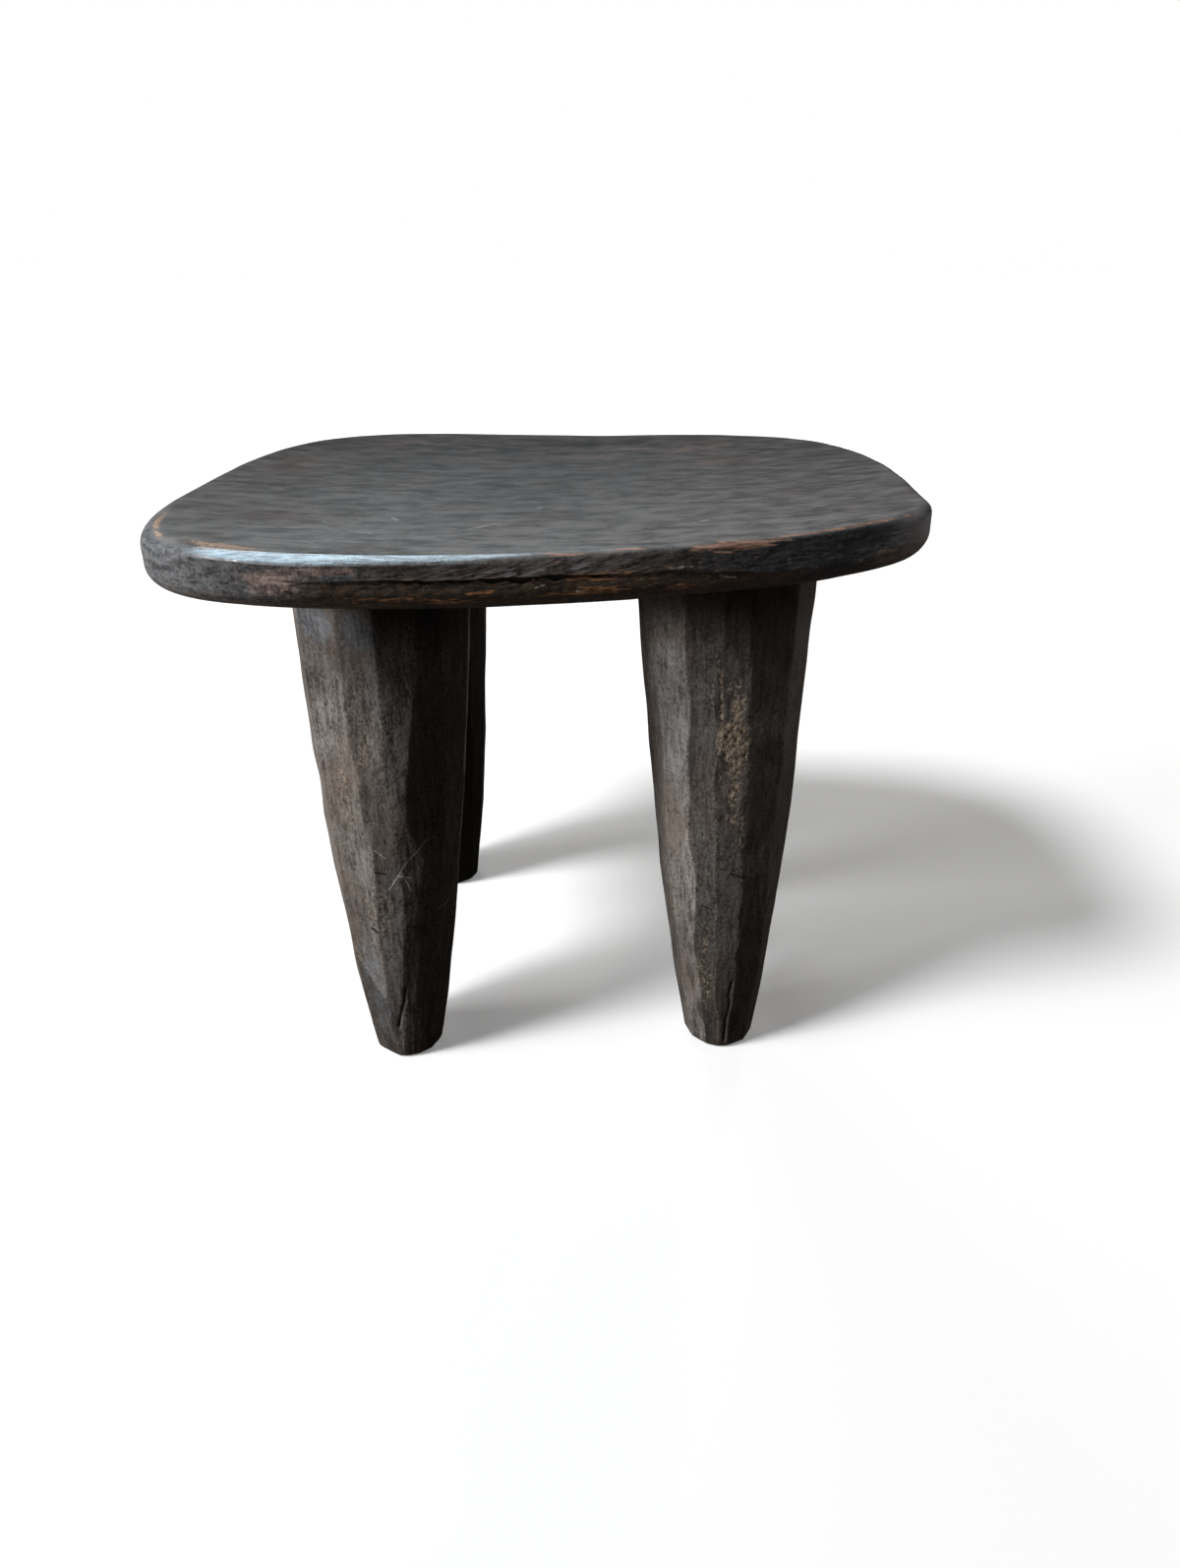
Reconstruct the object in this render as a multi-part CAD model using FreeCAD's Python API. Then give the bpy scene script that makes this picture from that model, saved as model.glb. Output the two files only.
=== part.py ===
"""Low four-legged stool: a dished seat slab on four hewn, tapering legs.

Millimetres. The floor is Z = 0, +Z is up, +X runs along the seat to its narrower
end and the front of the stool faces -Y. The origin lies on the floor, under the
middle of the seat's plan.
"""
import FreeCAD, Part
import math
import os
from collections import namedtuple

# Seat: plan
SEAT_WIDTH = 347.0
SEAT_DEPTH = 284.0         # front to back at the middle of the width
SEAT_SQUARENESS = 3.31     # exponent of the plan curve: 2 is an ellipse, more is squarer
SEAT_TAPER = 0.15          # share of the depth that the +X end loses and the -X end gains
LEFT_TIP_FORWARD = 46.0    # how far in front of the middle the -X end reaches furthest out
RIGHT_TIP_FORWARD = 76.0   # the same for the +X end
PLAN_POINTS = 56

# Seat: slab
SEAT_HEIGHT = 290.0        # lowest line of the dished top above the floor
SEAT_THICKNESS = 24.0
DISH_RADIUS = 2210.0       # the top is part of a cylinder that lies along Y
DISH_LOW_X = -43.0         # where the dish is lowest, left of the middle
RIM_TOP_ROUND = 6.0
RIM_BOTTOM_ROUND = 10.0

# Legs: places of the shoulders, in from the seat's ends and from its long edges
LEG_END_INSET = 87.5
LEG_EDGE_INSET = 63.0

# Legs: radii from the axis to the flats
LEG_TOP_RADIUS = 39.5
LEG_SWELL_RADIUS = 32.0
LEG_FOOT_RADIUS = 17.0
SWELL_HEIGHT = 85.0        # height of the point that draws a leg's side out to the swell radius
FOOT_EDGE_HEIGHT = 5.0     # worn chamfer round the sole
FOOT_EDGE_INSET = 4.5

# Legs: flats left by the adze
FACET_COUNT = 12
LEG_BANDS = 6              # straight stretches that each long flat is cut in
FACET_SWING = 4.0          # degrees by which the flats' directions wander
SWING_STEP = 2.4           # radians of that wander from one flat to the next
FACET_DEPTH = 0.02         # share of the radius by which the flats' depths wander
DEPTH_STEP = 1.7           # radians of that wander from one flat to the next
DEPTH_WAVELENGTH = 310.0   # height over which that wander repeats

# Tenons and mortises
TENON_RADIUS = 19.0
TENON_LENGTH = 15.0
TENON_CLEARANCE = 0.15     # all round, in the radius
MORTISE_END_GAP = 0.6
TENON_ROOT = 12.0          # how far the tenon reaches down into its own leg

# How far a cutting tool runs past what it cuts
TOOL_OVERRUN = 40.0

# Each leg: which end (-1 is -X) and which row (-1 is the front) it stands in, how far its
# shoulder is off the regular place, how far its sole is out from its shoulder, how stout it
# is beside the radii above, the degrees by which its flats are turned, and where in their
# waves the flats' wanders start.
Leg = namedtuple("Leg", "end row nudge splay stoutness turn start")
LEGS = {
    "leg_front_left": Leg(-1, -1, (17.0, 3.5), (-7.5, -2.0), 1.02, 14.0, 0.4),
    "leg_front_right": Leg(1, -1, (1.5, -3.5), (9.5, -0.5), 1.0, 6.0, 1.9),
    "leg_back_left": Leg(-1, 1, (1.0, -6.5), (5.0, 5.0), 0.975, 11.0, 3.1),
    "leg_back_right": Leg(1, 1, (0.0, 3.0), (6.0, 4.0), 0.975, 26.0, 4.6),
}


def vector(x, y, z):
    return FreeCAD.Vector(x, y, z)


def blend(start, end, share):
    return start + (end - start) * share


def signed_power(value, exponent):
    return math.copysign(abs(value) ** exponent, value)


def half_depth(along):
    """Half the seat's depth at a share of its half width: deeper at the -X end."""
    return SEAT_DEPTH / 2.0 * (1.0 - SEAT_TAPER * along)


def raw_plan_point(turn):
    """One point of the seat's plan before it is centred: a tapered superellipse."""
    along = signed_power(math.cos(turn), 2.0 / SEAT_SQUARENESS)
    across = signed_power(math.sin(turn), 2.0 / SEAT_SQUARENESS)
    tip_forward = blend(LEFT_TIP_FORWARD, RIGHT_TIP_FORWARD, (along + 1.0) / 2.0)
    y = half_depth(along) * across - tip_forward * (1.0 - abs(across))
    return SEAT_WIDTH / 2.0 * along, y


def seat_plan():
    """The plan as one smooth closed curve, centred front to back."""
    raw = [raw_plan_point(2.0 * math.pi * i / PLAN_POINTS) for i in range(PLAN_POINTS)]
    middle = (min(y for x, y in raw) + max(y for x, y in raw)) / 2.0
    curve = Part.BSplineCurve()
    curve.interpolate([vector(x, y - middle, 0.0) for x, y in raw], True)
    return Part.Face(Part.Wire(curve.toShape()))


def dish_arc(drop):
    """Arc in the XZ plane that lies `drop` below the dished top, wider than the seat, and its ends."""
    reach = SEAT_WIDTH / 2.0 + abs(DISH_LOW_X) + TOOL_OVERRUN
    radius = DISH_RADIUS + drop
    centre_height = SEAT_HEIGHT + DISH_RADIUS
    end_height = centre_height - math.sqrt(radius ** 2 - reach ** 2)
    left = vector(DISH_LOW_X - reach, 0.0, end_height)
    low = vector(DISH_LOW_X, 0.0, centre_height - radius)
    right = vector(DISH_LOW_X + reach, 0.0, end_height)
    return Part.Arc(left, low, right).toShape(), left, right


def swept_across(edges):
    """Closed outline in the XZ plane, swept along Y past both sides of the seat."""
    length = 2.0 * half_depth(-1.0) + 2.0 * TOOL_OVERRUN
    face = Part.Face(Part.Wire(edges))
    face.translate(vector(0.0, -length / 2.0, 0.0))
    return face.extrude(vector(0.0, length, 0.0))


def dished_slab():
    """The seat's thickness, between its top and its underside, before the plan is cut."""
    top, top_left, top_right = dish_arc(0.0)
    under, under_left, under_right = dish_arc(SEAT_THICKNESS)
    right_end = Part.makeLine(top_right, under_right)
    left_end = Part.makeLine(under_left, top_left)
    return swept_across([top, right_end, under, left_end])


def room_above_underside():
    """Everything above the seat's underside, for trimming the legs to it."""
    under, left, right = dish_arc(SEAT_THICKNESS)
    lid = max(left.z, right.z) + SEAT_THICKNESS + TOOL_OVERRUN
    left_lid = vector(left.x, 0.0, lid)
    right_lid = vector(right.x, 0.0, lid)
    right_side = Part.makeLine(right, right_lid)
    top_side = Part.makeLine(right_lid, left_lid)
    left_side = Part.makeLine(left_lid, left)
    return swept_across([under, right_side, top_side, left_side])


def underside_height(x):
    radius = DISH_RADIUS + SEAT_THICKNESS
    return SEAT_HEIGHT + DISH_RADIUS - math.sqrt(radius ** 2 - (x - DISH_LOW_X) ** 2)


def rim_edges(solid, drop):
    """The edges where the rim meets the face that lies `drop` below the dished top."""
    nearness = SEAT_THICKNESS / 1000.0
    centre_height = SEAT_HEIGHT + DISH_RADIUS
    wanted = []
    for edge in solid.Edges:
        points = edge.discretize(PLAN_POINTS)
        radii = [math.hypot(p.x - DISH_LOW_X, p.z - centre_height) for p in points]
        if max(abs(r - DISH_RADIUS - drop) for r in radii) < nearness:
            wanted.append(edge)
    return wanted


def shoulder_place(leg):
    """Where the leg's axis meets the seat's underside."""
    along = 1.0 - LEG_END_INSET / (SEAT_WIDTH / 2.0)
    x = leg.end * along * SEAT_WIDTH / 2.0 + leg.nudge[0]
    y = leg.row * (half_depth(leg.end * along) - LEG_EDGE_INSET) + leg.nudge[1]
    return vector(x, y, underside_height(x))


def stub(leg, radius, below, above):
    """Upright round stub on a leg's shoulder, used for the tenon and for its mortise."""
    base = shoulder_place(leg) - vector(0.0, 0.0, below)
    return Part.makeCylinder(radius, below + above, base)


def tenon(leg):
    return stub(leg, TENON_RADIUS, TENON_ROOT, TENON_LENGTH)


def mortise(leg):
    return stub(leg, TENON_RADIUS + TENON_CLEARANCE, TOOL_OVERRUN, TENON_LENGTH + MORTISE_END_GAP)


def seat():
    """The dished slab cut to its plan, with both rims rounded and a blind mortise for each leg."""
    plan = seat_plan()
    plan.translate(vector(0.0, 0.0, SEAT_HEIGHT - SEAT_THICKNESS - TOOL_OVERRUN))
    block = plan.extrude(vector(0.0, 0.0, SEAT_THICKNESS + 3.0 * TOOL_OVERRUN))
    slab = block.common(dished_slab()).Solids[0]
    slab = slab.makeFillet(RIM_TOP_ROUND, rim_edges(slab, 0.0))
    slab = slab.makeFillet(RIM_BOTTOM_ROUND, rim_edges(slab, SEAT_THICKNESS))
    for leg in LEGS.values():
        slab = slab.cut(mortise(leg))
    return slab


def leg_centre(leg, height):
    """The leg's axis at one height, on a straight line from its sole to its shoulder."""
    shoulder = shoulder_place(leg)
    out = 1.0 - height / shoulder.z
    return shoulder.x + leg.splay[0] * out, shoulder.y + leg.splay[1] * out


def leg_radius(leg, height):
    """The leg's radius: a smooth curve from sole to shoulder, drawn out to the swell radius."""
    bend = shoulder_place(leg).z - 2.0 * SWELL_HEIGHT
    share = height / (SWELL_HEIGHT + math.sqrt(SWELL_HEIGHT ** 2 + bend * height))
    lower = blend(LEG_FOOT_RADIUS, LEG_SWELL_RADIUS, share)
    upper = blend(LEG_SWELL_RADIUS, LEG_TOP_RADIUS, share)
    return blend(lower, upper, share) * leg.stoutness


def flat(leg, index, height, radius):
    """One flat of a leg at one height: the direction that it faces and how far out it lies."""
    swing = FACET_SWING * math.sin(SWING_STEP * index + leg.start)
    facing = math.radians(360.0 * index / FACET_COUNT + leg.turn + swing)
    wave = DEPTH_STEP * index + 2.0 * math.pi * height / DEPTH_WAVELENGTH + leg.start
    return facing, radius * (1.0 + FACET_DEPTH * math.sin(wave))


def hewn_section(leg, height, radius):
    """The leg's cross-section: a closed ring of flats that wander a little, as an adze leaves them."""
    flats = [flat(leg, index, height, radius) for index in range(FACET_COUNT)]
    middle_x, middle_y = leg_centre(leg, height)
    corners = []
    for (facing, depth), (next_facing, next_depth) in zip(flats, flats[1:] + flats[:1]):
        slant = math.sin(next_facing - facing)
        x = (depth * math.sin(next_facing) - next_depth * math.sin(facing)) / slant
        y = (next_depth * math.cos(facing) - depth * math.cos(next_facing)) / slant
        corners.append(vector(middle_x + x, middle_y + y, height))
    return Part.makePolygon(corners + corners[:1])


def hewn_leg(leg):
    """One leg: flats from sole to shoulder, trimmed to the seat's underside, with its tenon."""
    shoulder = shoulder_place(leg).z
    heights = [FOOT_EDGE_HEIGHT]
    heights += [shoulder * band / LEG_BANDS for band in range(1, LEG_BANDS)]
    heights += [SEAT_HEIGHT]
    rings = [hewn_section(leg, 0.0, leg_radius(leg, 0.0) - FOOT_EDGE_INSET)]
    rings += [hewn_section(leg, height, leg_radius(leg, height)) for height in heights]
    blank = Part.makeLoft(rings, True, True)
    return blank.cut(room_above_underside()).fuse(tenon(leg))


def main():
    os.makedirs("parts", exist_ok=True)
    seat().exportStep("parts/seat.step")
    for name, leg in LEGS.items():
        hewn_leg(leg).exportStep("parts/" + name + ".step")


main()
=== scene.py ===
"""Looks of the low four-legged stool: its hewn legs, worn dished seat, wood, light and camera.

Metres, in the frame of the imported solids: the floor is Z = 0, the front faces -Y and +X is on
the right as the camera sees it. Lengths in millimetres become metres by MM or mm().
"""
import math
import bpy
import numpy as np
from mathutils import Matrix, Vector
from mathutils.bvhtree import BVHTree


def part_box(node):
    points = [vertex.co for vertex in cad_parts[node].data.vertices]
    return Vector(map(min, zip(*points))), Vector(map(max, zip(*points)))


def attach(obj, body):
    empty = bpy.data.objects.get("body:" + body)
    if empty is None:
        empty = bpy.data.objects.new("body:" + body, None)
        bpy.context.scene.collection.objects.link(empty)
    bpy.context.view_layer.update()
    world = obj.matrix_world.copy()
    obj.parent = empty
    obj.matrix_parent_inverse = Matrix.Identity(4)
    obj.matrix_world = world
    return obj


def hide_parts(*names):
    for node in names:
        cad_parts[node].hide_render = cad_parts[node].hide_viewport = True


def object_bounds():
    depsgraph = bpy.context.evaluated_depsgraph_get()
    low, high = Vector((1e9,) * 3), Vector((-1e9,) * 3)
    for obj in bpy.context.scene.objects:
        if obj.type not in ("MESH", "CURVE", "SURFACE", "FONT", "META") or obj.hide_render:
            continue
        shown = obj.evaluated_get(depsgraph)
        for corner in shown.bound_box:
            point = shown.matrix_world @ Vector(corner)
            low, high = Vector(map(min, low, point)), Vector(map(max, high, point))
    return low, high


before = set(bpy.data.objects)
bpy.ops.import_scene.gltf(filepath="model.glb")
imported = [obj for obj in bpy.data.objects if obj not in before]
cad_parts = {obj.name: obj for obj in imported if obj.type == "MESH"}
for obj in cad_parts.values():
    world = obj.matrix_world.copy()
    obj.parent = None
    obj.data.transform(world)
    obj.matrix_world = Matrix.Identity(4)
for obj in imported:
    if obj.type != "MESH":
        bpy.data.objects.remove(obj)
CAD_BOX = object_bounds()

MM = 0.001
BODY = "root"


def mm(*lengths):
    """Lengths in millimetres, as metres."""
    return tuple(length * MM for length in lengths)


# Camera, as fitted to the photograph's frame
IMAGE_HEIGHT = 1594  # pixels, of an image 1200 wide
FOCAL_PIXELS = 1100.0
SENSOR_MM = 36.0
CAMERA_PLACE = mm(49.6, -560.9, 404.4)
CAMERA_PITCH = math.radians(27.09)  # down from the horizon
CAMERA_YAW = math.radians(-2.89)  # to the left of +Y
CAMERA_ROLL = math.radians(0.2)

# Skin of the legs. Cells are those of a noise: round a leg and up it, or up it alone.
LEG_COLUMNS = 360
LEG_ROWS = 230
SOLE_ROWS = 4
LEG_SINK = 1.5 * MM  # how far a leg's skin runs up into the seat
FLAT_TO_MEAN = 1.0115  # mean radius of a ring of twelve flats beside its inner radius
EDGE_POWER = 230.0  # higher leaves crisper edges between flats
EDGE_NEAR = 0.992  # an edge begins where the second flat is this near
FOOT_ROUND = 4.2 * MM  # height of the worn round at the sole
FOOT_INSET = 1.9 * MM
FOOT_TURN = 0.98  # how far the round turns in under the leg
SOLE_EVEN = 0.25  # how far the flats are worn off there
FACING_WANDER = math.radians(3.0)
WANDER_CELLS = 4
FACING_JITTER = math.radians(1.9)
JITTER_CELLS = 15
DEPTH_WANDER = 0.35 * MM
DEPTH_CELLS = 3
STROKE_COUNT = 16
STROKE_LENGTHS = mm(28, 90)
STROKE_DEPTHS = mm(0.1, 0.65)
STROKE_POWER = 1.2  # of the hollow along a stroke
STROKE_TONE = 0.5  # share of a stroke's own tone in its flat's
FIBRE_DEPTH = 0.09 * MM
FIBRE_CELLS = (72, 20)

# Directions that each leg's flats face, in degrees from +X
FLAT_FACINGS = {
    "leg_front_left": (-156, -125, -98, -74, -49, -22, 7, 37, 67, 99, 132, 166),
    "leg_front_right": (-164, -132, -108, -87, -63, -25, 6, 36, 66, 100, 133, 164),
    "leg_back_left": (-171, -139, -112, -80, -51, -22, 7, 40, 68, 98, 130, 159),
    "leg_back_right": (-155, -127, -95, -66, -34, -6, 25, 53, 86, 114, 147, 175),
}
# Tones of the flats towards the front, by their facing, partly painted light and shade: flats that catch
# the light paler, those turned from it darker, the back left leg's flats under the seat near black; the
# others have one at random
FLAT_TONES = {
    "leg_front_left": {-156: 0.4, -125: 1.3, -98: 0.6, -74: 0.6, -49: -0.6, -22: 0.2, 7: 2.4},
    "leg_front_right": {-164: -0.2, -132: 2.8, -108: -2.5, -87: -1.8, -63: -0.85, -25: -0.5, 6: 1.5},
    "leg_back_left": {-171: -0.9, -139: -0.2, -112: 0.5, -80: 0.3, -51: -4.5, -22: -4.5, 7: -4.5},
    "leg_back_right": {-155: 0.4, -127: -0.9, -95: -1.0, -66: 0.9, -34: -0.7, -6: -0.7},
}
TONE_REACH = (-4.2, 1.8)
# Flats that turn along their height: degrees by height, and how far a flat rises for each degree
STRAIGHT = ((0.0,), (0.0,))
LIT_TURN = (mm(0, 100, 160, 237), (8.0, 13.0, 9.0, 4.0))
MIDDLE_TURN = (
    mm(60, 93, 120, 133, 143, 153, 178, 195, 212, 237),
    (3.0, 5.0, 5.5, 6.0, 3.0, 0.5, -0.5, 0.5, 2.5, 4.0),
)
SHADE_TURN = (
    mm(93, 120, 133, 143, 153, 178, 195, 212, 237),
    (0.0, 0.5, 2.5, -1.0, -3.3, -3.5, -2.0, 0.5, 3.0),
)
SHADE_RISE = 0.27 * MM
FLAT_BENDS = {
    "leg_front_left": {
        -125: (LIT_TURN, 0.0),
        -98: (LIT_TURN, 0.0),
        -74: (MIDDLE_TURN, 0.0),
        -49: (SHADE_TURN, SHADE_RISE),
    },
}
LEG_SEEDS = {"leg_front_left": 11, "leg_front_right": 23, "leg_back_left": 37, "leg_back_right": 53}

# Skin of the seat
SEAT_COLUMNS = 1200
TOP_ROWS = 56
TOP_ROW_POWER = 1.2  # higher sets the top's rows closer at its edge
ROUND_ROWS = 14
BAND_ROWS = 32
UNDER_ROWS = 40
SEAT_SEED = 71

# Rounding of the seat's rim
TOP_ROUND = 4.8 * MM
ROUND_LOSS = 1.6 * MM  # how much crisper the top edge is on the right
LEFT_TIP = mm(-165, -105)  # the ends of the seat
RIGHT_TIP = mm(140, 168)
TIP_CALM = 0.7  # both are less hewn
TIP_BULGE = 0.9 * MM  # and fuller at the middle of the rim
TIP_ROUND = 4.0 * MM  # the left one is rounder above
TIP_UNDER = 0.25  # and less round below
RIGHT_ROUND = 1.6 * MM  # the right one is a little rounder above
RIGHT_UNDER = 0.2  # and rounder below
UNDER_ROUND = 10.5 * MM
ROUND_UNEVEN = 0.12  # by how much of themselves the rounds vary
TOP_ROUND_CELLS = 17  # cells of that noise round the rim
UNDER_ROUND_CELLS = 13
DROP_TO_INSET = 0.9  # a round is a little wider than it is high
FACET_ENDS = mm(-158, 26)  # the worn facet along the front left of the top edge
FACET_FADES = mm(40, 55)
FACET_INSET = 4.6 * MM
FACET_DROP = 2.9 * MM
BROAD_MIDDLE = -96.0 * MM  # it is broader round here
BROAD_SPREAD = 30.0 * MM
BROAD_INSET = 1.9 * MM
BROAD_DROP = 0.7 * MM
ROUND_POWER = 2.0  # of a round's curve
FACET_POWER = 1.2  # nearer to one, a plain chamfer's

# Hewing of the seat
RIM_SWELL = 0.36 * MM
RIM_SWELL_CELLS = (38, 9)  # round the rim and up it
RIM_GRAIN = 0.14 * MM
RIM_GRAIN_CELLS = (300, 46)
HOLLOW_DEPTH = 0.26 * MM
HOLLOW_SPAN = 0.5  # metres along and across, over which its cells are set
HOLLOW_CELLS = (11, 17)
UNDER_START = 0.93  # share of the thickness where the underside begins
SCALLOP_COUNT = 90
SCALLOP_RADIUS = 24.0 * MM
SCALLOP_DEPTH = 0.9 * MM


def smoothstep(low, high, value):
    """None up to low, one from high, and a smooth climb between them."""
    share = np.clip((value - low) / (high - low), 0.0, 1.0)
    return share * share * (3.0 - 2.0 * share)


def bump_at(value, centre, spread):
    """A bell of height one round a centre."""
    return np.exp(-((value - centre) / spread) ** 2)


def window(value, ends, fades):
    """One between two ends, fading to none over a stretch inside each."""
    rise = smoothstep(ends[0], ends[0] + fades[0], value)
    return rise * (1.0 - smoothstep(ends[1] - fades[1], ends[1], value))


def smooth_noise(seed, across, along, cells):
    """Noise from -1 to 1 over two shares of a surface, repeating at their ends."""
    lattice = np.random.default_rng(seed).uniform(-1.0, 1.0, cells)
    u, v = np.broadcast_arrays(across * cells[0], along * cells[1])
    low_u, low_v = np.floor(u).astype(int), np.floor(v).astype(int)
    fade_u, fade_v = smoothstep(0.0, 1.0, u - low_u), smoothstep(0.0, 1.0, v - low_v)
    u0, u1 = low_u % cells[0], (low_u + 1) % cells[0]
    v0, v1 = low_v % cells[1], (low_v + 1) % cells[1]
    near = lattice[u0, v0] * (1.0 - fade_u) + lattice[u1, v0] * fade_u
    far = lattice[u0, v1] * (1.0 - fade_u) + lattice[u1, v1] * fade_u
    return near * (1.0 - fade_v) + far * fade_v


def rough_noise(seed, across, along, cells, octaves=3):
    """Smooth noise with finer layers of it on top."""
    total = 0.0
    for octave in range(octaves):
        finer = (cells[0] * 2 ** octave, cells[1] * 2 ** octave)
        total = total + smooth_noise(seed + octave, across, along, finer) * 0.5 ** octave
    return total


def full_turn(count):
    """Angles spaced evenly round a circle."""
    return np.linspace(0.0, 2.0 * math.pi, count, endpoint=False)


def line_noise(seed, share, cells):
    """Smooth noise along a line."""
    return smooth_noise(seed, share, 0.0, (cells, 1))


def solid_tree(name):
    """Ray-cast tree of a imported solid."""
    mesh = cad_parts[name].data
    return BVHTree.FromPolygons([v.co for v in mesh.vertices], [p.vertices for p in mesh.polygons])


def add_object(name, data):
    """A new object in the scene."""
    made = bpy.data.objects.new(name, data)
    bpy.context.scene.collection.objects.link(made)
    return made


def ring_mesh(name, rings, start, end, masks):
    """A closed skin with masks: rings of points from a lowest middle point to a highest one."""
    rows, columns = rings.shape[:2]
    points = np.vstack([[start], rings.reshape(-1, 3), [end]])
    here = 1 + np.arange(rows * columns).reshape(rows, columns)
    beside = np.roll(here, -1, axis=1)
    last = len(points) - 1
    faces = np.stack([here[:-1], beside[:-1], beside[1:], here[1:]], axis=-1).reshape(-1, 4).tolist()
    faces += [(0, b, a) for a, b in zip(here[0].tolist(), beside[0].tolist())]
    faces += [(last, a, b) for a, b in zip(here[-1].tolist(), beside[-1].tolist())]
    mesh = bpy.data.meshes.new(name)
    mesh.from_pydata(points.tolist(), [], faces)
    mesh.polygons.foreach_set("use_smooth", np.ones(len(mesh.polygons), bool))
    for mask, values in masks.items():
        flat = np.concatenate([[values[0].mean()], values.ravel(), [values[-1].mean()]])
        mesh.attributes.new(mask, "FLOAT", "POINT").data.foreach_set("value", flat.astype(np.float32))
    return add_object(name, mesh)


# Seat: what the solid says

CURVE_PROBES = 41
CURVE_MARGIN = 4  # probes left out at either end
WIDEST_SHARE = 0.58  # how far up the rim its widest line runs
OUTLINE_TRIES = 3
OUTLINE_WAVES = 28  # finer waves than these are left out of the outline
SEAT_TREE = solid_tree("seat")


def height_curve(start_height, direction):
    """Height of the seat's top or underside along its middle, as a polynomial in X."""
    low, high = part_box("seat")
    places = np.linspace(low.x, high.x, CURVE_PROBES)[CURVE_MARGIN:-CURVE_MARGIN]
    ray = Vector((0, 0, direction))
    heights = [SEAT_TREE.ray_cast(Vector((x, 0.0, start_height)), ray)[0].z for x in places]
    return np.poly1d(np.polyfit(places, heights, 2))


SEAT_TOP = height_curve(2.0 * CAD_BOX[1].z, -1)
SEAT_UNDER = height_curve(0.0, 1)


def seat_outline():
    """The rim's widest line from above: points counter-clockwise from +X, and their normals."""
    turns = full_turn(SEAT_COLUMNS)
    far = 2.0 * (CAD_BOX[1] - CAD_BOX[0]).length
    reach = np.full(SEAT_COLUMNS, (CAD_BOX[1].x - CAD_BOX[0].x) / 2.0)
    for _ in range(OUTLINE_TRIES):
        for column, turn in enumerate(turns):
            out = Vector((math.cos(turn), math.sin(turn), 0.0))
            x = reach[column] * out.x
            height = WIDEST_SHARE * SEAT_TOP(x) + (1.0 - WIDEST_SHARE) * SEAT_UNDER(x)
            start = out * far + Vector((0.0, 0.0, height))
            reach[column] = far - SEAT_TREE.ray_cast(start, -out)[3]
    waves = np.fft.rfft(reach)
    waves[OUTLINE_WAVES:] = 0.0
    reach = np.fft.irfft(waves, SEAT_COLUMNS)
    outline = np.stack([reach * np.cos(turns), reach * np.sin(turns)], axis=1)
    along = np.roll(outline, -1, axis=0) - np.roll(outline, 1, axis=0)
    normals = np.stack([along[:, 1], -along[:, 0]], axis=1)
    return outline, normals / np.linalg.norm(normals, axis=1, keepdims=True)


# Seat: skin

class Rim:
    """The seat's rim, point by point round it: its outline, and how its edges are worn."""

    def __init__(self):
        self.outline, self.normals = seat_outline()
        x, y = self.outline.T
        steps = np.linalg.norm(np.roll(self.outline, -1, axis=0) - self.outline, axis=1)
        self.share = np.concatenate([[0.0], np.cumsum(steps)[:-1]]) / steps.sum()
        self.thickness = SEAT_TOP(x) - SEAT_UNDER(x)
        left_tip = 1.0 - smoothstep(*LEFT_TIP, x)
        right_tip = smoothstep(*RIGHT_TIP, x)
        self.tips = left_tip + right_tip
        self.facet = window(x, FACET_ENDS, FACET_FADES) * (y < 0.0)
        broad = bump_at(x, BROAD_MIDDLE, BROAD_SPREAD)
        self.facet_inset = FACET_INSET + BROAD_INSET * broad
        rightness = smoothstep(CAD_BOX[0].x, CAD_BOX[1].x, x)
        top_round = TOP_ROUND - ROUND_LOSS * rightness + TIP_ROUND * left_tip + RIGHT_ROUND * right_tip
        top_round = top_round * self.uneven(SEAT_SEED, TOP_ROUND_CELLS)
        self.top_inset = top_round + self.facet * (self.facet_inset - top_round)
        top_drop = DROP_TO_INSET * top_round
        self.top_drop = top_drop + self.facet * (FACET_DROP + BROAD_DROP * broad - top_drop)
        self.top_power = ROUND_POWER + self.facet * (FACET_POWER - ROUND_POWER)
        under_round = UNDER_ROUND * self.uneven(SEAT_SEED + 1, UNDER_ROUND_CELLS)
        self.under_round = under_round * (1.0 - TIP_UNDER * left_tip + RIGHT_UNDER * right_tip)

    def uneven(self, seed, cells):
        """What a round is multiplied by as it varies along the rim."""
        return 1.0 + ROUND_UNEVEN * line_noise(seed, self.share, cells)

    def profile(self):
        """Rows of (inset, drop) from the underside's edge up to the top's."""
        quarter = np.linspace(0.0, math.pi / 2.0, ROUND_ROWS)
        under_drop = DROP_TO_INSET * self.under_round
        rows = []
        for turn in quarter:
            inset = self.under_round * (1.0 - math.sin(turn))
            rows.append((inset, self.thickness - under_drop * (1.0 - math.cos(turn))))
        low, high = self.thickness - under_drop, self.top_drop
        for share in np.linspace(0.0, 1.0, BAND_ROWS + 2)[1:-1]:
            rows.append((0.0 * self.top_inset, low + (high - low) * share))
        power = ROUND_POWER / self.top_power
        for turn in quarter:
            inset = self.top_inset * (1.0 - math.cos(turn) ** power)
            rows.append((inset, self.top_drop * (1.0 - math.sin(turn) ** power)))
        return rows


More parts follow.
